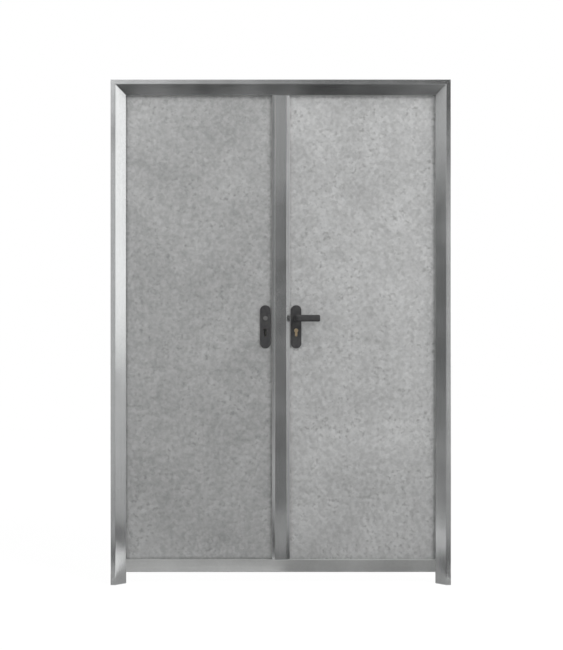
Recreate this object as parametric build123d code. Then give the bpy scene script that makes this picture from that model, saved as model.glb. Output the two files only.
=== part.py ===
from build123d import *
import os

# Galvanized steel double door: a folded sheet frame with a fixed centre post, two
# insulated leaves that open to the back, and a lever on the right leaf.
# Millimetres. X to the right, Y to the back, Z up. The origin is on the underside of
# the bottom bar, at floor level, halfway between the jambs.

# Opening
clear_width = 1305.0
clear_height = 2010.0

# Frame profile, measured from the edge of the opening outwards
frame_sheet = 1.5
bend_radius = 2.5
rim_width = 20.0
bevel_width = 40.0
bevel_depth = 40.0
stop_depth = 12.0
rebate_width = 17.0
rebate_depth = 50.0
rim_return = 30.0
back_return = 18.0
foot_length = 48.0

# Centre post, whose face has a sloping edge and a straight lip on each side
post_face = 75.0
post_web = 24.0
post_slope_width = 13.0
post_lip = 5.0

# Bottom bar
bar_height = 53.0
bar_lip = 14.0

# Leaves
leaf_thickness = 40.0
leaf_skin = 0.8
leaf_seat = 6.0
leaf_side_gap = 5.0
leaf_meeting_gap = 8.0
leaf_top_gap = 5.0
leaf_floor_gap = 10.0
leaf_edge_radius = 1.5
leaf_lip = 8.0
skin_play = 0.1

# Seals
seal_width = 7.0
seal_shortfall = 0.5
seal_inset = 6.0
seal_radius = 2.0

# Wall anchors
anchor_width = 30.0
anchor_thickness = 2.0
anchor_length = 84.0
anchor_hole_radius = 5.0
anchor_end_distance = 200.0

# Hinges
hinge_radius = 8.0
hinge_pin_radius = 5.0
hinge_pin_play = 0.08
hinge_standoff = 4.0
hinge_offset = 1.0
hinge_knuckle = 58.0
hinge_washer_gap = 2.0
hinge_running_gap = 0.3
hinge_plate = 3.0
hinge_pad = 6.0
hinge_leg = 44.0
hinge_frame_leg = 24.0
hinge_joggle = 14.0
hinge_end_distance = 250.0
hinge_pin_tip = 2.0

# Lock
backset = 45.0
lever_height = 1070.0
key_distance = 52.0
lock_depth = 75.0
lock_height = 165.0
lock_thickness = 16.0
lock_play = 1.0
lock_drop = 5.0
faceplate_height = 235.0
faceplate_width = 20.0
faceplate_thickness = 3.0
latch_height = 24.0
latch_width = 11.0
bolt_height = 34.0
strike_play = 3.0
groove_width = 0.5
groove_depth = 1.0
follower_radius = 6.5

# Handle plates
plate_width = 44.0
plate_height = 182.0
plate_thickness = 8.0
plate_corner = 21.0
plate_edge = 2.5
plate_drop = 36.0
plate_bore_play = 0.08
boss_radius = 9.5
boss_proud = 2.0
boss_edge = 0.7

# Key cylinder, the usual oval-tailed profile
key_radius = 8.5
key_tail_width = 10.0
key_profile_height = 33.0
key_play = 0.3
key_proud = 3.0
key_slot_width = 2.0
key_slot_height = 9.0
key_slot_depth = 5.0

# Levers
lever_length = 100.0
lever_collar_radius = 9.0
lever_collar_seat = 2.0
lever_shoulder_radius = 11.5
lever_shoulder = 5.0
lever_shoulder_gap = 0.3
lever_stand = 46.0
lever_bend = 16.0
lever_grip_height = 28.0
lever_grip_depth = 18.0
lever_end_radius = 6.0
spindle_side = 8.0
spindle_play = 0.05
spindle_reach = 22.0
spindle_tip_gap = 1.0

# Depths, with the bottom bar's middle at zero
stop_front = -stop_depth / 2
stop_back = stop_depth / 2
rim_front = stop_front - bevel_depth
frame_back = stop_back + rebate_depth
leaf_front = stop_back + leaf_seat
leaf_back = leaf_front + leaf_thickness
hinge_y = frame_back + hinge_standoff + hinge_radius

# Widths, on the right-hand side
opening_edge = clear_width / 2
rebate_edge = opening_edge + rebate_width
leaf_outer = rebate_edge - leaf_side_gap
leaf_inner = post_web / 2 + leaf_meeting_gap
hinge_x = rebate_edge + hinge_offset
lock_x = leaf_inner + backset
frame_outer = rim_width + bevel_width

# Heights
leaf_bottom = leaf_floor_gap
leaf_top = clear_height + rebate_width - leaf_top_gap
key_height = lever_height - key_distance
plate_centre = lever_height - plate_drop
lock_centre = (lever_height + key_height) / 2 - lock_drop


def block(x0, x1, y0, y1, z0, z1):
    """A box between two opposite corners."""
    return Pos((x0 + x1) / 2, (y0 + y1) / 2, (z0 + z1) / 2) * Box(x1 - x0, y1 - y0, z1 - z0)


def folded(points, side, length):
    """A sheet folded along points, its thickness to one side of them, extruded by length."""
    line = FilletPolyline(*points, radius=bend_radius)
    return extrude(make_face(line.wire().offset_2d(frame_sheet, side=side)), amount=length)


def frame_profile():
    """Outer face of the frame, as distance outwards from the opening and depth."""
    return [
        (frame_outer, rim_front + rim_return),
        (frame_outer, rim_front),
        (bevel_width, rim_front),
        (0, stop_front),
        (0, stop_back),
        (rebate_width, stop_back),
        (rebate_width, frame_back),
        (frame_outer, frame_back),
        (frame_outer, frame_back - back_return),
    ]


def front_extrude(sketch, y0, y1):
    """A sketch drawn as X and Z, extruded from depth y0 to y1."""
    return extrude(Plane(origin=(0, y0, 0), x_dir=(1, 0, 0), z_dir=(0, -1, 0)) * sketch, amount=y0 - y1)


def mitre(z_side):
    """Everything on one side of the mitre plane at the top right corner."""
    size = 4 * clear_height
    corner = Pos(opening_edge, 0, clear_height) * Rot(0, -45, 0)
    return corner * Pos(0, 0, z_side * size / 2) * Box(size, size, size)


def right_jamb():
    length = clear_height + frame_outer + foot_length
    bar = folded([(opening_edge + u, y) for u, y in frame_profile()], Side.LEFT, length)
    return Pos(0, 0, -foot_length) * bar - mitre(1)


def head():
    length = clear_width + 2 * frame_outer
    bar = folded([(u, y) for u, y in frame_profile()], Side.LEFT, length)
    top = Pos(length / 2, 0, clear_height) * Rot(0, -90, 0) * bar
    cut = mitre(-1)
    return top - cut - mirror(cut, about=Plane.YZ)


def centre_post():
    half_face = post_face / 2
    half_flat = half_face - post_slope_width
    half_web = post_web / 2
    lip_front = stop_back - post_lip
    right = [
        (half_flat, stop_front),
        (half_face, lip_front),
        (half_face, stop_back),
        (half_web, stop_back),
        (half_web, frame_back),
    ]
    outline = Polygon(*right, *[(-x, y) for x, y in reversed(right)], align=None)
    outline = fillet(outline.vertices(), bend_radius)
    section = outline - offset(outline, amount=-frame_sheet)
    top = clear_height + rebate_width
    post = Pos(0, 0, frame_sheet) * extrude(section, amount=top - frame_sheet)
    post -= block(-post_face, post_face, rim_front, stop_back, 0, bar_height)
    post -= block(-post_face, post_face, rim_front, stop_back, clear_height, top + 1)
    post -= block(-post_face, post_face, rim_front, stop_back + bend_radius, top - bend_radius, top + 1)
    middle = (leaf_front + leaf_back) / 2
    for centre, height in ((lever_height, latch_height), (key_height, bolt_height)):
        half_width = latch_width / 2 + strike_play
        half_height = height / 2 + strike_play
        strike = Box(2 * post_web, 2 * half_width, 2 * half_height)
        post -= Pos(0, middle, centre) * strike
    return post


def bottom_bar():
    points = [
        (stop_back, bar_height - bar_lip),
        (stop_back, bar_height),
        (stop_front, bar_height),
        (stop_front, 0),
        (frame_back, 0),
    ]
    bar = folded([(-y, z) for y, z in points], Side.RIGHT, clear_width)
    return Pos(opening_edge, 0, 0) * Plane(origin=(0, 0, 0), x_dir=(0, -1, 0), z_dir=(-1, 0, 0)).location * bar


def right_seal():
    low = bar_height - bar_lip / 2
    inner = post_face / 2 - seal_inset
    outer = opening_edge + seal_inset
    high = clear_height + seal_inset
    back = leaf_front - seal_shortfall
    half = seal_width / 2
    ring = block(inner - half, outer + half, stop_back, back, low - half, high + half)
    ring -= block(inner + half, outer - half, stop_back - 1, back + 1, low + half, high - half)
    rims = ring.faces().sort_by(Axis.Y)[-1].edges()
    return fillet(rims, seal_radius)


def right_anchors():
    outer = opening_edge + frame_outer - frame_sheet
    middle = (rim_front + frame_back) / 2
    straps = []
    for z in (anchor_end_distance, clear_height / 2, clear_height - anchor_end_distance):
        strap = Pos(outer - anchor_thickness / 2, middle, z) * Box(anchor_thickness, anchor_length, anchor_width)
        straps.append(strap - Pos(outer, middle, z) * Rot(0, 90, 0) * Cylinder(anchor_hole_radius, 20))
    return Compound(straps)


def key_outline(play):
    """The cylinder's cross-section with its round part on the origin."""
    tail = key_tail_width / 2
    drop = key_profile_height - key_radius - tail
    shape = Circle(key_radius + play) + Pos(0, -drop / 2) * Rectangle(2 * (tail + play), drop)
    return shape + Pos(0, -drop) * Circle(tail + play)


def key_bore(play, y0, y1):
    return front_extrude(Pos(lock_x, key_height) * key_outline(play), y0, y1)


def spindle_bore(radius, y0, y1):
    return front_extrude(Pos(lock_x, lever_height) * Circle(radius), y0, y1)


def faceplate_block(play):
    middle = (leaf_front + leaf_back) / 2
    half = faceplate_width / 2 + play
    tall = faceplate_height / 2 + play
    edge = leaf_inner + faceplate_thickness
    return block(leaf_inner, edge, middle - half, middle + half, lock_centre - tall, lock_centre + tall)


def lock_block(play):
    middle = (leaf_front + leaf_back) / 2
    start = leaf_inner + faceplate_thickness
    half = lock_thickness / 2 + play
    tall = lock_height / 2 + play
    end = start + lock_depth + play
    return block(start, end, middle - half, middle + half, lock_centre - tall, lock_centre + tall)


def lock():
    middle = (leaf_front + leaf_back) / 2
    body = lock_block(0) + faceplate_block(0)
    body -= key_bore(key_play, leaf_front, leaf_back)
    body -= spindle_bore(follower_radius, leaf_front, leaf_back)
    for centre, height in ((lever_height, latch_height), (key_height, bolt_height)):
        opening = Rectangle(latch_width + 2 * groove_width, height + 2 * groove_width)
        groove = extrude(Plane.YZ * (opening - Rectangle(latch_width, height)), amount=groove_depth)
        body -= Pos(leaf_inner, middle, centre) * groove
    return body


def leaf_front_skin():
    lid = leaf_back - leaf_skin
    shell = block(leaf_inner, leaf_outer, leaf_front, lid, leaf_bottom, leaf_top)
    corners = shell.edges().filter_by(Axis.Y)
    shell = fillet(list(corners) + list(shell.faces().sort_by(Axis.Y)[0].edges()), leaf_edge_radius)
    shell -= block(
        leaf_inner + leaf_skin,
        leaf_outer - leaf_skin,
        leaf_front + leaf_skin,
        leaf_back,
        leaf_bottom + leaf_skin,
        leaf_top - leaf_skin,
    )
    shell -= faceplate_block(key_play)
    shell -= key_bore(key_play, leaf_front - 1, leaf_front + 2)
    return shell - spindle_bore(lever_shoulder_radius, leaf_front - 1, leaf_front + 2)


def leaf_back_skin(with_lever):
    lid = leaf_back - leaf_skin
    sheet = block(leaf_inner, leaf_outer, lid, leaf_back, leaf_bottom, leaf_top)
    inset = leaf_skin + skin_play
    lip = block(
        leaf_inner + inset, leaf_outer - inset, lid - leaf_lip, lid, leaf_bottom + inset, leaf_top - inset
    )
    inset += leaf_skin
    lip -= block(
        leaf_inner + inset, leaf_outer - inset, lid - leaf_lip, lid, leaf_bottom + inset, leaf_top - inset
    )
    sheet += lip
    if with_lever:
        sheet -= key_bore(key_play, lid - 1, leaf_back + 1)
        sheet -= spindle_bore(lever_shoulder_radius, lid - 1, leaf_back + 1)
    return sheet


def leaf_core():
    inset = 2 * leaf_skin + 2 * skin_play
    core = block(
        leaf_inner + inset,
        leaf_outer - inset,
        leaf_front + leaf_skin,
        leaf_back - leaf_skin,
        leaf_bottom + inset,
        leaf_top - inset,
    )
    core -= faceplate_block(lock_play)
    core -= lock_block(lock_play)
    core -= key_bore(lock_play, leaf_front, leaf_back)
    return core - spindle_bore(lever_shoulder_radius, leaf_front, leaf_back)


def handle_plate(side, bored, keyed):
    """A long plate on the front (side -1) or back (side 1) of a leaf."""
    seat = leaf_front if side < 0 else leaf_back
    face = seat + side * plate_thickness
    outline = Pos(lock_x, plate_centre) * RectangleRounded(plate_width, plate_height, plate_corner)
    plate = front_extrude(outline, max(seat, face), min(seat, face))
    outer = plate.faces().sort_by(Axis.Y)[0 if side < 0 else -1]
    plate = fillet(outer.edges(), plate_edge)
    if keyed:
        plate -= key_bore(key_play, seat - plate_thickness - 1, seat + plate_thickness + 1)
    if bored:
        radius = lever_collar_radius + plate_bore_play
        plate -= spindle_bore(radius, seat - plate_thickness - 1, seat + plate_thickness + 1)
    return plate


def spindle_blank():
    face = leaf_front - plate_thickness
    disc = spindle_bore(boss_radius, face - boss_proud, face)
    return chamfer(disc.faces().sort_by(Axis.Y)[0].edges(), boss_edge)


def key_cylinder():
    front = leaf_front - plate_thickness - key_proud
    back = leaf_back + plate_thickness + key_proud
    body = key_bore(0, front, back)
    for y in (front, back):
        body -= Pos(lock_x, y, key_height) * Box(key_slot_width, 2 * key_slot_depth, key_slot_height)
    return body


def lever(side):
    """The front (side -1) or back (side 1) lever, with its grip to the hinge side."""
    seat = leaf_front if side < 0 else leaf_back
    face = seat + side * plate_thickness
    inner = seat + side * lever_collar_seat
    start = face + side * lever_shoulder_gap
    shoulder = start + side * lever_shoulder
    centre_y = face + side * lever_stand
    bend_y = centre_y - side * lever_bend
    neck = Line((0, shoulder, 0), (0, bend_y, 0))
    bend = TangentArc((0, bend_y, 0), (lever_bend, centre_y, 0), tangent=(0, side, 0))
    grip = Line((lever_bend, centre_y, 0), (lever_length, centre_y, 0))
    section = Plane(origin=(0, shoulder, 0), x_dir=(0, 0, 1), z_dir=(0, side, 0))
    body = sweep(section * SlotOverall(lever_grip_height, lever_grip_depth), path=Wire([neck, bend, grip]))
    body = fillet(body.faces().sort_by(Axis.X)[-1].edges(), lever_end_radius)
    collar = front_extrude(Circle(lever_collar_radius), inner, shoulder)
    ring = front_extrude(Circle(lever_shoulder_radius), start, shoulder)
    body = body + collar + ring
    depth = spindle_reach + side * (start - inner)
    hole = spindle_side + 2 * spindle_play
    body -= Pos(0, inner + side * depth / 2, 0) * Box(hole, depth, hole)
    return Pos(lock_x, 0, lever_height) * body


def spindle():
    reach = plate_thickness - lever_collar_seat + spindle_reach - spindle_tip_gap
    return block(
        lock_x - spindle_side / 2,
        lock_x + spindle_side / 2,
        leaf_front - reach,
        leaf_back + reach,
        lever_height - spindle_side / 2,
        lever_height + spindle_side / 2,
    )


def hinge_half(leg_start, leg_end, seat, base, length):
    """A knuckle joined by a solid web to a plate that lies on a back face."""
    near = min((leg_start, leg_end), key=lambda x: abs(x - hinge_x))
    foot = near + hinge_pad * (1 if leg_end > hinge_x else -1)
    knuckle = Pos(hinge_x, hinge_y) * Circle(hinge_radius)
    pad = Pos((near + foot) / 2, seat + hinge_plate / 2) * Rectangle(abs(foot - near), hinge_plate)
    web = make_hull(knuckle.edges() + pad.edges())
    leg = Pos((leg_start + leg_end) / 2, seat + hinge_plate / 2) * Rectangle(abs(leg_end - leg_start), hinge_plate)
    return Pos(0, 0, base) * extrude(web + leg, amount=length)


def hinge_frame_half(base):
    start = hinge_x + hinge_joggle
    half = hinge_half(start, start + hinge_frame_leg, frame_back, base, hinge_knuckle)
    pin_length = 2 * hinge_knuckle + hinge_washer_gap - hinge_pin_tip
    pin = Pos(hinge_x, hinge_y, base + pin_length / 2) * Cylinder(hinge_pin_radius, pin_length)
    washer_height = hinge_washer_gap - hinge_running_gap
    washer = Pos(hinge_x, hinge_y, base + hinge_knuckle + washer_height / 2)
    return half + pin + washer * Cylinder(hinge_radius, washer_height)


def hinge_leaf_half(base):
    start = hinge_x - hinge_joggle
    bottom = base + hinge_knuckle + hinge_washer_gap
    half = hinge_half(start, start - hinge_leg, leaf_back, bottom, hinge_knuckle)
    bore = Pos(hinge_x, hinge_y, bottom + (hinge_knuckle - hinge_pin_tip) / 2)
    return half - bore * Cylinder(hinge_pin_radius + hinge_pin_play, hinge_knuckle - hinge_pin_tip)


def both_sides(name, shape):
    """The right-hand piece and its mirror image on the left."""
    return {"right_" + name: shape, "left_" + name: mirror(shape, about=Plane.YZ)}


def build():
    pieces = {"head": head(), "centre_post": centre_post(), "bottom_bar": bottom_bar()}
    pieces.update(both_sides("jamb", right_jamb()))
    pieces.update(both_sides("seal", right_seal()))
    pieces.update(both_sides("anchors", right_anchors()))
    hinge_length = 2 * hinge_knuckle + hinge_washer_gap
    bases = {"lower": leaf_bottom + hinge_end_distance, "upper": leaf_top - hinge_end_distance - hinge_length}
    for level, base in bases.items():
        pieces.update(both_sides(level + "_hinge_frame_half", hinge_frame_half(base)))
        pieces.update(both_sides(level + "_hinge_leaf_half", hinge_leaf_half(base)))
    pieces.update(both_sides("leaf_front_skin", leaf_front_skin()))
    pieces.update(both_sides("leaf_core", leaf_core()))
    pieces.update(both_sides("lock", lock()))
    pieces["right_leaf_back_skin"] = leaf_back_skin(True)
    pieces["left_leaf_back_skin"] = mirror(leaf_back_skin(False), about=Plane.YZ)
    pieces["right_front_plate"] = handle_plate(-1, True, True)
    pieces["right_back_plate"] = handle_plate(1, True, True)
    pieces["left_front_plate"] = mirror(handle_plate(-1, False, True), about=Plane.YZ)
    pieces["left_back_plate"] = mirror(handle_plate(1, False, False), about=Plane.YZ)
    pieces["left_spindle_blank"] = mirror(spindle_blank(), about=Plane.YZ)
    pieces["key_cylinder"] = key_cylinder()
    pieces["front_lever"] = lever(-1)
    pieces["back_lever"] = lever(1)
    pieces["spindle"] = spindle()
    return pieces


os.makedirs("parts", exist_ok=True)
for name, shape in build().items():
    export_step(shape, "parts/" + name + ".step")
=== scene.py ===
import logging
import math
from dataclasses import dataclass, field
from enum import Enum

import bmesh
import bpy
from mathutils import Matrix, Vector


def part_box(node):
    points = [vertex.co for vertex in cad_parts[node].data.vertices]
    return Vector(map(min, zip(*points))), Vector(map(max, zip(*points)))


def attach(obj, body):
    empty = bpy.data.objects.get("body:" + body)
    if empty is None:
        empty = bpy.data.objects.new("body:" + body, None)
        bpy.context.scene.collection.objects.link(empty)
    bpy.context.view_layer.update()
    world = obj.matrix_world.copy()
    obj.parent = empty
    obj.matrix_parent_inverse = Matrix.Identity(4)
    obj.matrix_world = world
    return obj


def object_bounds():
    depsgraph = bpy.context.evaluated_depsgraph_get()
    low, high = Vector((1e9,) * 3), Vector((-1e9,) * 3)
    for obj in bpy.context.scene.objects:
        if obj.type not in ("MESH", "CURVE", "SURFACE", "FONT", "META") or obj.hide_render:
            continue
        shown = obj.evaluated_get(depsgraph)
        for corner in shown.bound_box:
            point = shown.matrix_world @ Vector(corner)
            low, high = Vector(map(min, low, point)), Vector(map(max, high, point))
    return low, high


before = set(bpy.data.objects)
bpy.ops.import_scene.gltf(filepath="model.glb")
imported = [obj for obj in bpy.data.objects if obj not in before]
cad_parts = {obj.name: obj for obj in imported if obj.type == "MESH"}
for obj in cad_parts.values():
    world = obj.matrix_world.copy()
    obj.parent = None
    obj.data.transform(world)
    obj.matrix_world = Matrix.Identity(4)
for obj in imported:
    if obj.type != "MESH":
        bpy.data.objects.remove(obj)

CAD_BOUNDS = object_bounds()

logging.basicConfig(level=logging.INFO, format="%(message)s")
log = logging.getLogger("double_door")

Color = tuple[float, float, float]
Triple = tuple[float, float, float]
Point = tuple[float, float]
Socket = bpy.types.NodeSocket

BACKWARDS = Vector((0.0, 1.0, 0.0))
WHITE = (1.0, 1.0, 1.0, 1.0)
QUARTER_TURN = math.radians(90)

# Edges where faces meet at more than this angle stay sharp.
SHARP_ANGLE = math.radians(32)


class Side(Enum):
    """The two leaves, named as seen from the front."""

    LEFT = "left"
    RIGHT = "right"

    @property
    def sign(self) -> float:
        """The side's direction along X."""
        return 1.0 if self is Side.RIGHT else -1.0


class Level(Enum):
    """The two hinges of a leaf."""

    LOWER = "lower"
    UPPER = "upper"


class Grain(Enum):
    """The direction in which a sheet was rolled and folded."""

    UPRIGHT = "upright"
    LEVEL = "level"


class Facing(Enum):
    """Which way a screw head looks, as the turn about Z from the front in degrees."""

    BACK = 180.0
    LEFT = -90.0
    RIGHT = 90.0


class Stand(Enum):
    """How a card of the studio stands, as its rotation in radians."""

    UPRIGHT = (QUARTER_TURN, 0.0, 0.0)
    SIDEWAYS = (QUARTER_TURN, 0.0, QUARTER_TURN)
    FLAT = (0.0, 0.0, 0.0)


@dataclass(frozen=True)
class Noise:
    """A cloudy pattern: its features per metre and how many finer layers it has."""

    scale: float
    detail: float = 3.0


@dataclass(frozen=True)
class Cells:
    """A pattern of crystals: cells per metre, and how far their outlines bend in metres."""

    scale: float
    warp: float


@dataclass(frozen=True)
class Band:
    """The part of a pattern that counts, from low to high, and what its two ends become."""

    low: float
    high: float
    least: float
    most: float


@dataclass(frozen=True)
class Relief:
    """How high a pattern raises a surface, in metres, and how much of that shows."""

    depth: float
    strength: float


class Shader:
    """A material's node tree, built node by node on object coordinates."""

    # The colour sockets of a mix node share their names with its other sockets.
    MIX_FIRST = 6
    MIX_SECOND = 7
    MIX_RESULT = 2

    # How fine the noise is that bends crystal cells, against the cells themselves.
    BEND_FINENESS = 0.8

    def __init__(self, name: str) -> None:
        """Start a material with a bare principled surface.

        Args:
            name: The material's name.
        """
        self.material = bpy.data.materials.new(name)
        self.material.use_nodes = True
        self.tree = self.material.node_tree
        self.surface = self.tree.nodes["Principled BSDF"]
        self.place = self.tree.nodes.new("ShaderNodeTexCoord").outputs["Object"]

    def set(self, **values: float) -> None:
        """Set constants on the surface's own sockets.

        Args:
            values: Each socket's name, with underscores for spaces, and its value.
        """
        for key, value in values.items():
            self.surface.inputs[key.replace("_", " ")].default_value = value

    def join(self, source: Socket, target: Socket) -> None:
        """Link one socket to another."""
        self.tree.links.new(source, target)

    def stretched(self, scale: Triple) -> Socket:
        """Object coordinates stretched along each axis.

        Args:
            scale: The factor along X, Y and Z.

        Returns:
            The stretched vector.
        """
        mapping = self.tree.nodes.new("ShaderNodeMapping")
        mapping.inputs["Scale"].default_value = scale
        self.join(self.place, mapping.inputs["Vector"])
        return mapping.outputs["Vector"]

    def noise(self, pattern: Noise, vector: Socket | None = None) -> Socket:
        """A noise texture.

        Args:
            pattern: How fine it is.
            vector: Where it is read, or the plain object coordinates.

        Returns:
            Its value from 0 to 1.
        """
        node = self.tree.nodes.new("ShaderNodeTexNoise")
        node.inputs["Scale"].default_value = pattern.scale
        node.inputs["Detail"].default_value = pattern.detail
        self.join(vector or self.place, node.inputs["Vector"])
        return node.outputs["Fac"]

    def cells(self, pattern: Cells) -> Socket:
        """Crystal cells with bent outlines.

        Args:
            pattern: How large they are and how far they bend.

        Returns:
            A value from 0 to 1 that is random from cell to cell.
        """
        bend = self.tree.nodes.new("ShaderNodeTexNoise")
        bend.inputs["Scale"].default_value = pattern.scale * self.BEND_FINENESS
        self.join(self.place, bend.inputs["Vector"])
        push = self.tree.nodes.new("ShaderNodeVectorMath")
        push.operation = "MULTIPLY_ADD"
        push.inputs[1].default_value = (pattern.warp, pattern.warp, pattern.warp)
        self.join(bend.outputs["Color"], push.inputs[0])
        self.join(self.place, push.inputs[2])
        node = self.tree.nodes.new("ShaderNodeTexVoronoi")
        node.inputs["Scale"].default_value = pattern.scale
        self.join(push.outputs["Vector"], node.inputs["Vector"])
        split = self.tree.nodes.new("ShaderNodeSeparateColor")
        self.join(node.outputs["Color"], split.inputs["Color"])
        return split.outputs["Red"]

    def ranged(self, value: Socket, band: Band) -> Socket:
        """Map a band of a value onto the band's two ends, clamped.

        Args:
            value: The value.
            band: The part that counts and what it becomes.

        Returns:
            The mapped value.
        """
        node = self.tree.nodes.new("ShaderNodeMapRange")
        self.join(value, node.inputs["Value"])
        node.inputs["From Min"].default_value = band.low
        node.inputs["From Max"].default_value = band.high
        node.inputs["To Min"].default_value = band.least
        node.inputs["To Max"].default_value = band.most
        return node.outputs["Result"]

    def mix(self, share: Socket, first: Color | Socket, second: Color | Socket) -> Socket:
        """Mix two colours.

        Args:
            share: How much of the second shows.
            first: The first colour.
            second: The second colour.

        Returns:
            The mixed colour.
        """
        node = self.tree.nodes.new("ShaderNodeMix")
        node.data_type = "RGBA"
        self.join(share, node.inputs[0])
        for value, number in ((first, self.MIX_FIRST), (second, self.MIX_SECOND)):
            socket = node.inputs[number]
            if isinstance(value, tuple):
                socket.default_value = (*value, 1.0)
            else:
                self.join(value, socket)
        return node.outputs[self.MIX_RESULT]

    def combine(self, operation: str, first: Socket, second: Socket | float) -> Socket:
        """Combine two values.

        Args:
            operation: The math node's operation.
            first: The first value.
            second: The second value.

        Returns:
            The result.
        """
        node = self.tree.nodes.new("ShaderNodeMath")
        node.operation = operation
        self.join(first, node.inputs[0])
        if isinstance(second, float):
            node.inputs[1].default_value = second
        else:
            self.join(second, node.inputs[1])
        return node.outputs["Value"]

    def total(self, *values: Socket) -> Socket:
        """Add up several values.

        Args:
            values: The values.

        Returns:
            Their sum.
        """
        result = values[0]
        for value in values[1:]:
            result = self.combine("ADD", result, value)
        return result

    def color(self, value: Socket) -> None:
        """Use a colour as the surface's own."""
        self.join(value, self.surface.inputs["Base Color"])

    def rough(self, value: Socket) -> None:
        """Use a value as the surface's roughness."""
        self.join(value, self.surface.inputs["Roughness"])

    def bump(self, height: Socket, relief: Relief) -> None:
        """Raise the surface by a pattern.

        Args:
            height: The pattern, from 0 to 1.
            relief: How high it raises the surface.
        """
        node = self.tree.nodes.new("ShaderNodeBump")
        node.inputs["Distance"].default_value = relief.depth
        node.inputs["Strength"].default_value = relief.strength
        self.join(height, node.inputs["Height"])
        self.join(node.outputs["Normal"], self.surface.inputs["Normal"])

    def show(self, source: Socket) -> None:
        """Use another shader as the whole material."""
        self.join(source, self.tree.nodes["Material Output"].inputs["Surface"])


@dataclass(frozen=True)
class RolledZinc:
    """Smooth galvanized sheet of the frame, with faint lines along its length."""

    grain: Grain
    name: str = "rolled_zinc"
    light: Color = (0.80, 0.81, 0.81)
    dark: Color = (0.62, 0.63, 0.63)
    metallic: float = 0.95
    along: float = 1.4
    across: float = 90.0
    lines: Noise = Noise(1.0, 4.0)
    line_tone: Band = Band(0.3, 0.7, 0.0, 0.16)
    clouds: Noise = Noise(5.0, 5.0)
    cloud_tone: Band = Band(0.3, 0.7, 0.0, 0.5)
    cloud_rough: Band = Band(0.3, 0.7, 0.16, 0.25)
    grains: Cells = Cells(120.0, 0.004)
    grain_tone: Band = Band(0.0, 1.0, 0.0, 0.16)
    scratches: Noise = Noise(1.0, 2.0)
    scratch_fineness: float = 2.0
    relief: Relief = Relief(0.0002, 0.03)

    @property
    def stretch(self) -> Triple:
        """How fine the sheet's lines are.

        Returns:
            Their features per metre along X, Y and Z.
        """
        if self.grain is Grain.UPRIGHT:
            return self.across, self.across, self.along
        return self.along, self.across, self.across

    def material(self) -> bpy.types.Material:
        """Build the finish.

        Returns:
            The finished material.
        """
        shader = Shader(self.name + "_" + self.grain.value)
        shader.set(Metallic=self.metallic)
        lines = shader.noise(self.lines, shader.stretched(self.stretch))
        clouds = shader.noise(self.clouds)
        grains = shader.cells(self.grains)
        tone = shader.total(
            shader.ranged(lines, self.line_tone),
            shader.ranged(clouds, self.cloud_tone),
            shader.ranged(grains, self.grain_tone),
        )
        shader.color(shader.mix(tone, self.dark, self.light))
        shader.rough(shader.ranged(clouds, self.cloud_rough))
        finer = tuple(self.scratch_fineness * scale for scale in self.stretch)
        shader.bump(shader.noise(self.scratches, shader.stretched(finer)), self.relief)
        return shader.material


@dataclass(frozen=True)
class SpangledZinc:
    """Matt galvanized sheet of the leaves, with a close spangle and dark specks."""

    name: str
    light: Color = (0.710, 0.715, 0.713)
    dark: Color = (0.425, 0.429, 0.428)
    speck: Color = (0.215, 0.218, 0.218)
    metallic: float = 0.62
    fine: Cells = Cells(110.0, 0.008)
    fine_tone: Band = Band(0.0, 1.0, 0.0, 0.12)
    fine_rough: Band = Band(0.0, 1.0, 0.36, 0.46)
    coarse: Cells = Cells(46.0, 0.018)
    coarse_tone: Band = Band(0.0, 1.0, 0.0, 0.30)
    clouds: Noise = Noise(4.5, 5.0)
    cloud_tone: Band = Band(0.35, 0.65, 0.0, 0.32)
    mottle: Noise = Noise(64.0, 2.0)
    mottle_tone: Band = Band(0.35, 0.65, 0.0, 0.30)
    specks: Noise = Noise(62.0, 1.5)
    speck_tone: Band = Band(0.56, 0.72, 0.0, 0.46)
    patches: Noise = Noise(9.0, 3.0)
    patch_share: Band = Band(0.42, 0.58, 0.2, 1.0)
    pores: Noise = Noise(420.0, 2.0)
    relief: Relief = Relief(0.0002, 0.35)

    def material(self) -> bpy.types.Material:
        """Build the finish.

        Returns:
            The finished material.
        """
        shader = Shader(self.name)
        shader.set(Metallic=self.metallic)
        fine = shader.cells(self.fine)
        tone = shader.total(
            shader.ranged(fine, self.fine_tone),
            shader.ranged(shader.cells(self.coarse), self.coarse_tone),
            shader.ranged(shader.noise(self.clouds), self.cloud_tone),
            shader.ranged(shader.noise(self.mottle), self.mottle_tone),
        )
        sheet = shader.mix(tone, self.dark, self.light)
        specks = shader.ranged(shader.noise(self.specks), self.speck_tone)
        patches = shader.ranged(shader.noise(self.patches), self.patch_share)
        shader.color(shader.mix(shader.combine("MULTIPLY", specks, patches), sheet, self.speck))
        shader.rough(shader.ranged(fine, self.fine_rough))
        shader.bump(shader.noise(self.pores), self.relief)
        return shader.material


@dataclass(frozen=True)
class MouldedPlastic:
    """Fine-grained moulded plastic of the plates and levers."""

    name: str
    base: Color
    worn: Color
    shine: float = 0.25
    wear: Noise = Noise(60.0, 4.0)
    wear_tone: Band = Band(0.35, 0.75, 0.0, 1.0)
    smears: Noise = Noise(25.0, 3.0)
    smear_rough: Band = Band(0.3, 0.7, 0.43, 0.56)
    grain: Noise = Noise(2600.0, 1.0)
    relief: Relief = Relief(0.00008, 0.5)

    def material(self) -> bpy.types.Material:
        """Build the finish.

        Returns:
            The finished material.
        """
        shader = Shader(self.name)
        shader.set(Specular_IOR_Level=self.shine)
        wear = shader.ranged(shader.noise(self.wear), self.wear_tone)
        shader.color(shader.mix(wear, self.base, self.worn))
        shader.rough(shader.ranged(shader.noise(self.smears), self.smear_rough))
        shader.bump(shader.noise(self.grain), self.relief)
        return shader.material


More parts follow.
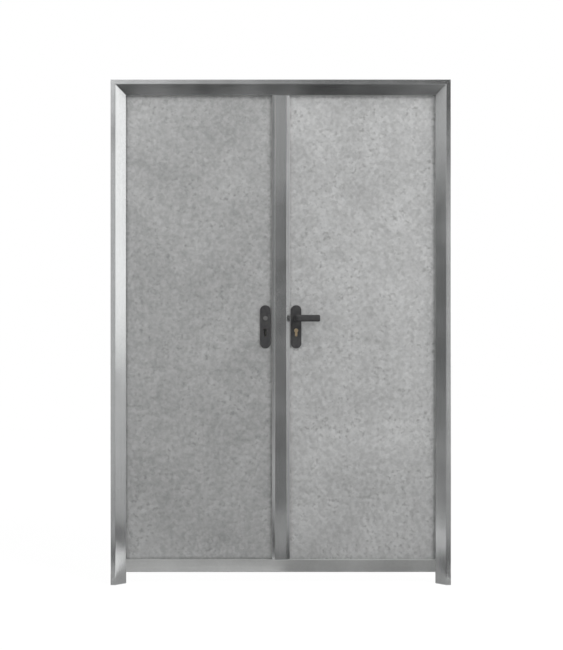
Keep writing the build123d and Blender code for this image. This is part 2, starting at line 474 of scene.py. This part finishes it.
@dataclass(frozen=True)
class TurnedMetal:
    """Machined metal of a fitting, with fine marks and a little tarnish."""

    name: str
    bright: Color
    darker: Color
    roughness: float
    metallic: float = 1.0
    polished: float = 0.06
    tarnished: float = 0.12
    tarnish: Noise = Noise(90.0, 4.0)
    tarnish_tone: Band = Band(0.35, 0.7, 0.0, 1.0)
    tarnish_low: float = 0.3
    tarnish_high: float = 0.7
    marks: Noise = Noise(1.0, 2.0)
    mark_stretch: Triple = (300.0, 300.0, 2500.0)
    relief: Relief = Relief(0.00006, 0.4)

    def material(self) -> bpy.types.Material:
        """Build the finish.

        Returns:
            The finished material.
        """
        shader = Shader(self.name)
        shader.set(Metallic=self.metallic)
        tarnish = shader.noise(self.tarnish)
        shader.color(shader.mix(shader.ranged(tarnish, self.tarnish_tone), self.bright, self.darker))
        least, most = self.roughness - self.polished, self.roughness + self.tarnished
        shader.rough(shader.ranged(tarnish, Band(self.tarnish_low, self.tarnish_high, least, most)))
        shader.bump(shader.noise(self.marks, shader.stretched(self.mark_stretch)), self.relief)
        return shader.material


@dataclass(frozen=True)
class SealRubber:
    """Black extruded rubber with a dusty bloom."""

    name: str = "seal_rubber"
    base: Color = (0.018, 0.018, 0.019)
    bloom: Color = (0.06, 0.06, 0.058)
    dust: Noise = Noise(40.0, 5.0)
    dust_tone: Band = Band(0.5, 0.8, 0.0, 1.0)
    wear: Noise = Noise(15.0)
    wear_rough: Band = Band(0.3, 0.7, 0.55, 0.75)
    pores: Noise = Noise(900.0, 2.0)
    relief: Relief = Relief(0.0001, 0.3)

    def material(self) -> bpy.types.Material:
        """Build the finish.

        Returns:
            The finished material.
        """
        shader = Shader(self.name)
        dust = shader.ranged(shader.noise(self.dust), self.dust_tone)
        shader.color(shader.mix(dust, self.base, self.bloom))
        shader.rough(shader.ranged(shader.noise(self.wear), self.wear_rough))
        shader.bump(shader.noise(self.pores), self.relief)
        return shader.material


@dataclass(frozen=True)
class MineralWool:
    """Pressed mineral wool inside the leaves."""

    name: str = "mineral_wool"
    base: Color = (0.42, 0.37, 0.20)
    pale: Color = (0.62, 0.57, 0.38)
    roughness: float = 0.95
    fibres: Noise = Noise(1.0, 5.0)
    fibre_stretch: Triple = (120.0, 900.0, 120.0)
    fibre_tone: Band = Band(0.3, 0.7, 0.0, 1.0)
    relief: Relief = Relief(0.0015, 0.8)

    def material(self) -> bpy.types.Material:
        """Build the finish.

        Returns:
            The finished material.
        """
        shader = Shader(self.name)
        shader.set(Roughness=self.roughness)
        fibres = shader.noise(self.fibres, shader.stretched(self.fibre_stretch))
        shader.color(shader.mix(shader.ranged(fibres, self.fibre_tone), self.base, self.pale))
        shader.bump(fibres, self.relief)
        return shader.material


class Finishes:
    """Every finish of the door, made once."""

    def __init__(self) -> None:
        """Build the materials."""
        self.upright = RolledZinc(Grain.UPRIGHT).material()
        self.level = RolledZinc(Grain.LEVEL).material()
        self.trodden = RolledZinc(
            Grain.LEVEL,
            name="trodden_zinc",
            light=(0.56, 0.565, 0.56),
            dark=(0.42, 0.425, 0.42),
            metallic=0.7,
            cloud_rough=Band(0.3, 0.7, 0.32, 0.46),
        ).material()
        # Painted shade: the left leaf takes a darker copy of the spangled sheet, standing in for the weaker
        # light and reflection that leaf catches from the lamp on the right.
        darker = SpangledZinc("spangled_zinc_painted_shade", light=(0.588, 0.593, 0.591), dark=(0.342, 0.346, 0.345))
        self.leaf = {
            Side.LEFT: darker.material(),
            Side.RIGHT: SpangledZinc("spangled_zinc").material(),
        }
        self.plastic = MouldedPlastic(
            "black_plastic",
            base=(0.036, 0.036, 0.038),
            worn=(0.056, 0.055, 0.054),
        ).material()
        self.blank = MouldedPlastic(
            "grey_plastic",
            base=(0.10, 0.10, 0.098),
            worn=(0.14, 0.14, 0.135),
            smear_rough=Band(0.3, 0.7, 0.45, 0.58),
        ).material()
        self.brass = TurnedMetal("key_brass", (0.86, 0.70, 0.48), (0.60, 0.44, 0.24), 0.30).material()
        self.zinc = TurnedMetal("plated_steel", (0.58, 0.58, 0.57), (0.40, 0.40, 0.39), 0.34).material()
        self.lock = TurnedMetal("lock_steel", (0.52, 0.52, 0.50), (0.34, 0.34, 0.32), 0.38).material()
        self.screw = TurnedMetal("zinc_screws", (0.62, 0.62, 0.60), (0.42, 0.41, 0.38), 0.32).material()
        self.weld = TurnedMetal("weld_metal", (0.46, 0.45, 0.43), (0.26, 0.24, 0.22), 0.42).material()
        self.rubber = SealRubber().material()
        self.wool = MineralWool().material()


def dress(node: str, material: bpy.types.Material) -> None:
    """Give a solid its finish.

    Args:
        node: The solid's name.
        material: Its finish.
    """
    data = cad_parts[node].data
    data.materials.clear()
    data.materials.append(material)
    log.info("%s: %s", node, material.name)


def piece(
    mesh: bmesh.types.BMesh, name: str, material: bpy.types.Material, body: str
) -> bpy.types.Object:
    """Make an object of a mesh and let it ride on a body.

    Args:
        mesh: The mesh, in metres and in place.
        name: The object's name.
        material: Its finish.
        body: The body it moves with.

    Returns:
        The new object.
    """
    bmesh.ops.recalc_face_normals(mesh, faces=mesh.faces)
    data = bpy.data.meshes.new(name)
    mesh.to_mesh(data)
    mesh.free()
    data.materials.append(material)
    data.shade_smooth()
    data.set_sharp_from_angle(angle=SHARP_ANGLE)
    made = bpy.data.objects.new(name, data)
    bpy.context.scene.collection.objects.link(made)
    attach(made, body)
    log.info("%s: %d faces on %s", name, len(data.polygons), body)
    return made


def inner_x(low: Vector, high: Vector) -> float:
    """How near a solid's box comes to the door's middle along X."""
    return min(abs(low.x), abs(high.x))


def outer_x(low: Vector, high: Vector) -> float:
    """How far a solid's box reaches from the door's middle along X."""
    return max(abs(low.x), abs(high.x))


@dataclass
class CrossScrew:
    """A low domed screw head with a cross recess, along the local -Y axis."""

    radius: float = 0.0035
    rise: float = 0.0009
    slot_half_width: float = 0.0005
    slot_half_length: float = 0.0021
    recess: float = 0.0011
    sink: float = 0.0006
    segments: int = 28
    flat_share: float = 0.72
    floor_share: float = 0.7
    # Shares of the radius and of the rise, from the flat top down to the edge.
    dome: tuple[Point, ...] = ((0.90, 0.75), (1.0, 0.25))

    def add(self, mesh: bmesh.types.BMesh, place: Matrix) -> None:
        """Add one head to a mesh.

        Args:
            mesh: The mesh that takes it.
            place: Where its seat is, with local -Y pointing out.
        """

        def loop(points: list[Point], depth: float, share: float = 1.0) -> list[bmesh.types.BMVert]:
            """The vertices of an outline, scaled by a share and set at a depth."""
            return [mesh.verts.new(place @ Vector((x * share, depth, z * share))) for x, z in points]

        near, far = self.slot_half_width, self.slot_half_length
        cross = [(near, far), (near, near), (far, near), (far, -near), (near, -near), (near, -far)]
        cross += [(-x, -z) for x, z in cross]
        angles = [2 * math.pi * i / self.segments for i in range(self.segments)]
        flat = self.radius * self.flat_share
        rim = [(flat * math.cos(a), flat * math.sin(a)) for a in angles]
        edge = [(x / self.flat_share, z / self.flat_share) for x, z in rim]

        inner = loop(cross, -self.rise)
        ring = loop(rim, -self.rise)
        edges = [mesh.edges.new((line[i], line[i - 1])) for line in (inner, ring) for i in range(len(line))]
        bmesh.ops.triangle_fill(mesh, use_beauty=True, edges=edges)
        floor = loop(cross, self.recess - self.rise, self.floor_share)
        for i in range(len(inner)):
            mesh.faces.new((inner[i], inner[i - 1], floor[i - 1], floor[i]))
        mesh.faces.new(floor)

        steps = [(share, -self.rise * height) for share, height in self.dome]
        for share, depth in (*steps, (1.0, self.sink)):
            outer = loop(edge, depth, share)
            for i in range(self.segments):
                mesh.faces.new((ring[i], ring[i - 1], outer[i - 1], outer[i]))
            ring = outer


@dataclass
class WeldBead:
    """A low rippled weld bead along a straight line."""

    half_width: float = 0.0025
    rise: float = 0.0014
    pitch: float = 0.0016
    rows_a_ripple: int = 2
    fewest_rows: int = 4
    around: int = 8
    valley: float = 0.86
    end_swell: float = 0.35
    end_slope: float = 6.0

    def swell(self, row: int, rows: int) -> float:
        """How full the bead is at one of its rows.

        Args:
            row: The row's number.
            rows: The last row's number.

        Returns:
            A share of the bead's full section.
        """
        share = row / rows
        ripple = 1.0 if row % 2 else self.valley
        return ripple * min(1.0, self.end_swell + self.end_slope * min(share, 1.0 - share))

    def add(self, mesh: bmesh.types.BMesh, start: Vector, end: Vector, out: Vector) -> None:
        """Add one bead to a mesh.

        Args:
            mesh: The mesh that takes it.
            start: One end of its root.
            end: The other end.
            out: The direction in which it stands proud.
        """
        along = (end - start).normalized()
        side = along.cross(out).normalized()
        length = (end - start).length
        rows = max(self.fewest_rows, int(length / self.pitch * self.rows_a_ripple))
        last = None
        for row in range(rows + 1):
            swell = self.swell(row, rows)
            root = start + along * (row / rows * length)
            ring = []
            for step in range(self.around + 1):
                angle = math.pi * step / self.around
                offset = side * (math.cos(angle) * self.half_width * swell)
                offset += out * (math.sin(angle) * self.rise * swell)
                ring.append(mesh.verts.new(root + offset))
            if last:
                for i in range(self.around):
                    mesh.faces.new((last[i], last[i + 1], ring[i + 1], ring[i]))
                mesh.faces.new((last[0], ring[0], ring[-1], last[-1]))
            if row in (0, rows):
                mesh.faces.new(ring)
            last = ring


@dataclass(frozen=True)
class Spot:
    """A screw on a plate: metres up from its middle, degrees of turn, metres in from its end."""

    up: float
    turn: float
    inwards: float = 0.0


def seat(point: Vector, facing: Facing, turn: float) -> Matrix:
    """A place for a screw head.

    Args:
        point: The middle of its seat.
        facing: Which way it looks.
        turn: How far its cross is turned, in degrees.

    Returns:
        The matrix whose local -Y points out of the face.
    """
    heading = Matrix.Rotation(math.radians(facing.value), 4, "Z")
    return Matrix.Translation(point) @ heading @ Matrix.Rotation(math.radians(turn), 4, "Y")


@dataclass
class SteelFrame:
    """Jambs, head, post, bar, seals and straps."""

    finishes: Finishes
    knuckle: float = 0.058
    hinge_weld_start: float = 0.021
    hinge_weld_end: float = 0.001
    strap_heights: Triple = (0.2, 1.005, 1.81)
    strap_half: float = 0.015
    strap_margin: float = 0.003
    strap_face: float = 0.711
    back_return: float = 0.018
    rim_return: float = 0.030
    corner_margin: float = 0.003
    mitre: float = 0.037
    hinge_bead: WeldBead = field(default_factory=WeldBead)
    ground_bead: WeldBead = field(default_factory=lambda: WeldBead(half_width=0.0016, rise=0.0005))
    strap_bead: WeldBead = field(default_factory=lambda: WeldBead(half_width=0.0013, rise=0.0011))

    def build(self) -> None:
        """Dress the frame's solids and add its welds."""
        for node in ("left_jamb", "right_jamb", "centre_post"):
            dress(node, self.finishes.upright)
        dress("head", self.finishes.level)
        dress("bottom_bar", self.finishes.trodden)
        for side in Side:
            dress(side.value + "_seal", self.finishes.rubber)
            dress(side.value + "_anchors", self.finishes.level)
            self.hinge_welds(side)
            self.strap_welds(side)
            self.corner_weld(side)

    def hinge_welds(self, side: Side) -> None:
        """Weld the hinges' frame halves to the back of a jamb.

        Args:
            side: The jamb's side.
        """
        mesh = bmesh.new()
        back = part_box(side.value + "_jamb")[1].y
        for level in Level:
            low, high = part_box(f"{side.value}_{level.value}_hinge_frame_half")
            reach = outer_x(low, high)
            for z in (low.z, low.z + self.knuckle):
                start = Vector((side.sign * (reach - self.hinge_weld_start), back, z))
                end = Vector((side.sign * (reach - self.hinge_weld_end), back, z))
                self.hinge_bead.add(mesh, start, end, BACKWARDS)
        piece(mesh, side.value + "_hinge_welds", self.finishes.weld, "frame")

    def strap_welds(self, side: Side) -> None:
        """Tack the wall straps to the edges of a jamb's returns.

        Args:
            side: The jamb's side.
        """
        mesh = bmesh.new()
        low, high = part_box(side.value + "_jamb")
        face = side.sign * self.strap_face
        out = Vector((side.sign, 0.0, 0.0))
        for height in self.strap_heights:
            for y in (low.y + self.rim_return, high.y - self.back_return):
                start = Vector((face, y, height - self.strap_half + self.strap_margin))
                end = Vector((face, y, height + self.strap_half - self.strap_margin))
                self.strap_bead.add(mesh, start, end, out)
        piece(mesh, side.value + "_strap_welds", self.finishes.weld, "frame")

    def corner_weld(self, side: Side) -> None:
        """Close the mitre on the back of a top corner.

        Args:
            side: The corner's side.
        """
        mesh = bmesh.new()
        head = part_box("head")[1]
        reach = outer_x(*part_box(side.value + "_jamb"))
        outer = Vector((side.sign * (reach - self.corner_margin), head.y, head.z - self.corner_margin))
        inner = outer - Vector((side.sign * self.mitre, 0.0, self.mitre))
        self.ground_bead.add(mesh, inner, outer, BACKWARDS)
        piece(mesh, side.value + "_corner_weld", self.finishes.weld, "frame")


@dataclass
class Leaf:
    """One leaf with its lock and hinges."""

    finishes: Finishes
    side: Side
    hinge_screw: CrossScrew = field(default_factory=lambda: CrossScrew(radius=0.0045))
    hinge_spots: tuple[Spot, ...] = (
        Spot(-0.018, 20.0, 0.009),
        Spot(0.018, 65.0, 0.009),
        Spot(0.0, -35.0, 0.027),
    )
    hinge_twist: float = 11.0
    hinge_plate: float = 0.003
    edge_screw: CrossScrew = field(default_factory=lambda: CrossScrew(radius=0.0036, rise=0.0004))
    edge_spots: tuple[Spot, ...] = (Spot(-0.108, 15.0), Spot(0.108, 50.0))

    def name(self, part: str) -> str:
        """The full name of one of this side's solids."""
        return self.side.value + "_" + part

    def build(self) -> None:
        """Dress the leaf's solids and add its screws."""
        dress(self.name("leaf_front_skin"), self.finishes.leaf[self.side])
        dress(self.name("leaf_back_skin"), self.finishes.leaf[self.side])
        dress(self.name("leaf_core"), self.finishes.wool)
        dress(self.name("lock"), self.finishes.lock)
        for level in Level:
            dress(self.name(level.value + "_hinge_frame_half"), self.finishes.zinc)
            dress(self.name(level.value + "_hinge_leaf_half"), self.finishes.zinc)
        self.hinge_screws()
        self.edge_screws()

    def hinge_screws(self) -> None:
        """Screw each hinge's plate to the leaf."""
        mesh = bmesh.new()
        sign = self.side.sign
        for level in Level:
            low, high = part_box(self.name(level.value + "_hinge_leaf_half"))
            end = inner_x(low, high)
            middle = (low.z + high.z) / 2
            for spot in self.hinge_spots:
                x = sign * (end + spot.inwards)
                point = Vector((x, low.y + self.hinge_plate, middle + spot.up))
                turn = spot.turn + self.hinge_twist * sign
                self.hinge_screw.add(mesh, seat(point, Facing.BACK, turn))
        piece(mesh, self.name("hinge_screws"), self.finishes.screw, self.name("leaf"))

    def edge_screws(self) -> None:
        """Screw the lock's plate to the leaf's edge."""
        mesh = bmesh.new()
        low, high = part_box(self.name("lock"))
        facing = Facing.LEFT if self.side is Side.RIGHT else Facing.RIGHT
        edge = inner_x(low, high)
        middle = (low + high) / 2
        for spot in self.edge_spots:
            point = Vector((self.side.sign * edge, middle.y, middle.z + spot.up))
            self.edge_screw.add(mesh, seat(point, facing, spot.turn))
        piece(mesh, self.name("edge_screws"), self.finishes.screw, self.name("leaf"))


@dataclass
class HandleSet:
    """Plates, blank, cylinder and levers."""

    finishes: Finishes
    screw: CrossScrew = field(default_factory=lambda: CrossScrew(radius=0.0042))
    spots: tuple[Spot, ...] = (Spot(-0.075, 30.0), Spot(0.075, -20.0))

    def build(self) -> None:
        """Dress the fittings and add the screws of the back plates."""
        for side in Side:
            for face in ("front", "back"):
                dress(f"{side.value}_{face}_plate", self.finishes.plastic)
            self.screws(side)
        dress("left_spindle_blank", self.finishes.blank)
        dress("key_cylinder", self.finishes.brass)
        dress("front_lever", self.finishes.plastic)
        dress("back_lever", self.finishes.plastic)
        dress("spindle", self.finishes.lock)

    def screws(self, side: Side) -> None:
        """Screw a back plate on.

        Args:
            side: The leaf that carries the plate.
        """
        mesh = bmesh.new()
        low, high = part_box(side.value + "_back_plate")
        middle = (low + high) / 2
        for spot in self.spots:
            point = Vector((middle.x, high.y, middle.z + spot.up))
            self.screw.add(mesh, seat(point, Facing.BACK, spot.turn * side.sign))
        piece(mesh, side.value + "_plate_screws", self.finishes.screw, side.value + "_leaf")


def seen_by(tree: bpy.types.NodeTree, *rays: str) -> Socket:
    """A value that is one for some kinds of ray and zero for the others.

    Args:
        tree: The node tree that takes the nodes.
        rays: The light path node's outputs for these kinds.

    Returns:
        The value.
    """
    path = tree.nodes.new("ShaderNodeLightPath")
    value = path.outputs[rays[0]]
    for ray in rays[1:]:
        larger = tree.nodes.new("ShaderNodeMath")
        larger.operation = "MAXIMUM"
        tree.links.new(value, larger.inputs[0])
        tree.links.new(path.outputs[ray], larger.inputs[1])
        value = larger.outputs["Value"]
    return value


def sheet(name: str, half: float, segments: int, material: bpy.types.Material) -> bpy.types.Object:
    """Make a flat square sheet of the studio.

    Args:
        name: Its name.
        half: Half its side, in metres.
        segments: How many faces it has along each side.
        material: Its finish.

    Returns:
        The new object.
    """
    mesh = bmesh.new()
    bmesh.ops.create_grid(mesh, x_segments=segments, y_segments=segments, size=half)
    data = bpy.data.meshes.new(name)
    mesh.to_mesh(data)
    mesh.free()
    data.materials.append(material)
    made = bpy.data.objects.new(name, data)
    bpy.context.scene.collection.objects.link(made)
    return made


@dataclass(frozen=True)
class Card:
    """A grey card that only reflections see, fading evenly from its left edge to its right."""

    name: str
    place: Triple
    stand: Stand
    half_width: float
    half_height: float
    left: float
    right: float

    def hang(self) -> None:
        """Put the card in the scene."""
        shader = Shader(self.name)
        glow = shader.tree.nodes.new("ShaderNodeEmission")
        split = shader.tree.nodes.new("ShaderNodeSeparateXYZ")
        shader.join(shader.place, split.inputs["Vector"])
        across = shader.ranged(split.outputs["X"], Band(-1.0, 1.0, self.left, self.right))
        shader.join(across, glow.inputs["Strength"])
        shader.show(glow.outputs["Emission"])
        card = sheet(self.name, half=1.0, segments=1, material=shader.material)
        card.location = self.place
        card.rotation_euler = self.stand.value
        card.scale = (self.half_width, self.half_height, 1.0)
        for kind in ("camera", "diffuse", "transmission", "volume_scatter", "shadow"):
            setattr(card, "visible_" + kind, False)


CARDS = (
    # Far in front of the door.
    Card("card_far", (0.0, -8.2, 1.0), Stand.UPRIGHT, 4.0, 2.0, 0.66, 0.30),
    Card("card_high", (-1.55, -8.2, 6.0), Stand.UPRIGHT, 1.25, 3.0, 0.12, 0.09),
    Card("card_high_right", (3.15, -8.12, 5.85), Stand.UPRIGHT, 3.45, 3.15, 0.05, 0.0),
    Card("card_top_left", (-2.2, -8.1, 7.3), Stand.UPRIGHT, 2.0, 1.5, 3.2, 1.6),
    Card("card_high_left", (-2.2, -8.1, 4.6), Stand.UPRIGHT, 1.9, 1.1, 2.2, 0.3),
    Card("card_high_post", (0.0, -8.1, 3.22), Stand.UPRIGHT, 0.5, 0.26, 0.6, 0.6),
    Card("card_post_upper", (0.0, -8.05, 2.67), Stand.UPRIGHT, 0.5, 0.29, 0.2, 0.2),
    Card("card_side_left", (-4.5, -8.15, 1.6), Stand.UPRIGHT, 1.5, 2.6, 1.2, 1.2),
    Card("card_side_right", (4.4, -8.15, 0.85), Stand.UPRIGHT, 1.8, 1.85, 2.0, 2.0),
    Card("card_middle", (0.0, -7.8, 0.75), Stand.UPRIGHT, 1.25, 1.65, 0.09, 0.09),
    # At its sides.
    Card("card_left", (-5.0, 0.3, 1.15), Stand.SIDEWAYS, 2.2, 1.2, 0.13, 0.13),
    Card("card_left_high", (-5.0, 0.3, 3.2), Stand.SIDEWAYS, 2.2, 0.85, 0.55, 0.55),
    Card("card_left_far", (-5.0, -5.2, 1.6), Stand.SIDEWAYS, 3.3, 2.0, 0.20, 0.20),
    Card("card_right", (5.0, 0.3, 0.35), Stand.SIDEWAYS, 2.2, 0.45, 0.50, 0.50),
    Card("card_right_high", (5.0, 0.3, 2.2), Stand.SIDEWAYS, 2.2, 1.4, 1.26, 1.26),
    Card("card_right_far", (5.0, -5.2, 1.6), Stand.SIDEWAYS, 3.3, 2.0, 0.42, 0.42),
    # Low in front of it.
    Card("card_low_far", (0.0, -5.2, -0.02), Stand.FLAT, 5.0, 3.2, 0.66, 0.10),
    Card("card_low_centre", (0.0, -4.85, -0.019), Stand.FLAT, 0.95, 2.95, 0.09, 0.09),
    Card("card_low_mid", (0.0, -1.43, -0.02), Stand.FLAT, 4.0, 0.57, 0.50, 0.24),
    Card("card_low_near", (0.0, -0.54, -0.02), Stand.FLAT, 4.0, 0.32, 0.02, 0.01),
    Card("card_low_post", (0.0, -0.70, -0.019), Stand.FLAT, 0.04, 0.16, 0.42, 0.42),
    Card("card_low_sill", (0.0, -0.30, -0.019), Stand.FLAT, 0.025, 0.08, 0.30, 0.30),
    Card("card_low_rim_left", (-0.765, -0.24, -0.019), Stand.FLAT, 0.06, 0.18, 0.36, 0.36),
    Card("card_low_rim_right", (0.765, -0.22, -0.019), Stand.FLAT, 0.06, 0.16, 0.18, 0.18),
    # Beside, under and behind it.
    Card("card_low_right", (2.975, 0.63, -0.019), Stand.FLAT, 2.02, 1.57, 0.45, 0.45),
    Card("card_foot", (0.0, 0.4, -0.046), Stand.FLAT, 0.9, 0.75, 0.34, 0.32),
    Card("card_back", (0.0, 8.2, 1.8), Stand.UPRIGHT, 5.0, 3.4, 0.30, 0.60),
    Card("card_back_low", (0.0, 4.6, -0.02), Stand.FLAT, 5.0, 3.8, 0.36, 0.46),
    # Low and close in front of it.
    Card("card_low_edge_left", (-0.345, -0.14, -0.02), Stand.FLAT, 0.345, 0.08, 0.94, 1.16),
    Card("card_low_edge_right", (0.345, -0.14, -0.02), Stand.FLAT, 0.345, 0.08, 0.12, 0.0),
)


@dataclass
class Studio:
    """A pale floor, soft light, grey cards and the camera at the photo's angle."""

    camera_distance: float = 5.5
    camera_height: float = 1.0415
    camera_side: float = 0.003
    lens: float = 72.8
    sensor: float = 36.0
    floor_half: float = 30.0
    floor_segments: int = 4
    floor_clouds: Noise = Noise(2.0)
    floor_dark: Color = (0.80, 0.80, 0.80)
    floor_pale: Color = (0.84, 0.84, 0.84)
    floor_roughness: float = 0.9
    floor_glow: float = 1.05
    floor_glow_share: float = 0.92
    backdrop: float = 1.0
    daylight: float = 0.46
    lamp_place: Triple = (3.8, -3.65, 4.6)
    lamp_target: Triple = (0.0, 0.0, 1.2)
    lamp_size: float = 3.2
    lamp_power: float = 360.0
    cards: tuple[Card, ...] = CARDS

    def build(self, ground: float, front: float) -> None:
        """Set up everything that isn't the door.

        Args:
            ground: The level of the door's lowest point.
            front: The depth of the door's face.
        """
        self.camera(front)
        self.floor(ground)
        self.world()
        self.lamp()
        for card in self.cards:
            card.hang()

    def camera(self, front: float) -> None:
        """Place the camera.

        Args:
            front: The depth of the door's face.
        """
        data = bpy.data.cameras.new("camera")
        data.lens = self.lens
        data.sensor_width = self.sensor
        camera = bpy.data.objects.new("camera", data)
        camera.location = (self.camera_side, front - self.camera_distance, self.camera_height)
        camera.rotation_euler = (QUARTER_TURN, 0.0, 0.0)
        bpy.context.scene.collection.objects.link(camera)
        bpy.context.scene.camera = camera

    def floor(self, ground: float) -> None:
        """Lay the floor, which shows as white and keeps a faint shadow.

        Args:
            ground: The floor's level.
        """
        shader = Shader("floor_white")
        shader.set(Roughness=self.floor_roughness)
        shader.color(shader.mix(shader.noise(self.floor_clouds), self.floor_dark, self.floor_pale))
        glow = shader.tree.nodes.new("ShaderNodeEmission")
        glow.inputs["Strength"].default_value = self.floor_glow
        seen = seen_by(shader.tree, "Is Camera Ray", "Is Glossy Ray")
        blend = shader.tree.nodes.new("ShaderNodeMixShader")
        shader.join(shader.combine("MULTIPLY", seen, self.floor_glow_share), blend.inputs["Fac"])
        shader.join(shader.surface.outputs["BSDF"], blend.inputs[1])
        shader.join(glow.outputs["Emission"], blend.inputs[2])
        shader.show(blend.outputs["Shader"])
        floor = sheet("floor", self.floor_half, self.floor_segments, shader.material)
        floor.location.z = ground

    def world(self) -> None:
        """White where it is seen, soft grey light elsewhere."""
        world = bpy.data.worlds.new("studio")
        world.use_nodes = True
        bpy.context.scene.world = world
        nodes, links = world.node_tree.nodes, world.node_tree.links
        shown = nodes["Background"]
        light = nodes.new("ShaderNodeBackground")
        for background, strength in ((shown, self.backdrop), (light, self.daylight)):
            background.inputs["Color"].default_value = WHITE
            background.inputs["Strength"].default_value = strength
        seen = seen_by(world.node_tree, "Is Camera Ray", "Is Glossy Ray", "Is Transmission Ray")
        blend = nodes.new("ShaderNodeMixShader")
        links.new(seen, blend.inputs["Fac"])
        links.new(light.outputs["Background"], blend.inputs[1])
        links.new(shown.outputs["Background"], blend.inputs[2])
        links.new(blend.outputs["Shader"], nodes["World Output"].inputs["Surface"])

    def lamp(self) -> None:
        """Hang the one soft square light."""
        data = bpy.data.lights.new("key", "AREA")
        data.size = self.lamp_size
        data.energy = self.lamp_power
        lamp = bpy.data.objects.new("key", data)
        place, target = Vector(self.lamp_place), Vector(self.lamp_target)
        lamp.location = place
        lamp.rotation_euler = (target - place).to_track_quat("-Z", "Y").to_euler()
        lamp.visible_glossy = False
        bpy.context.scene.collection.objects.link(lamp)


def main() -> None:
    """Build the door's looks and the studio around it."""
    bpy.context.scene.view_settings.view_transform = "Standard"
    finishes = Finishes()
    SteelFrame(finishes).build()
    for side in Side:
        Leaf(finishes, side).build()
    HandleSet(finishes).build()
    Studio().build(ground=Vector(CAD_BOUNDS[0]).z, front=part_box("head")[0].y)


if __name__ == "__main__":
    main()
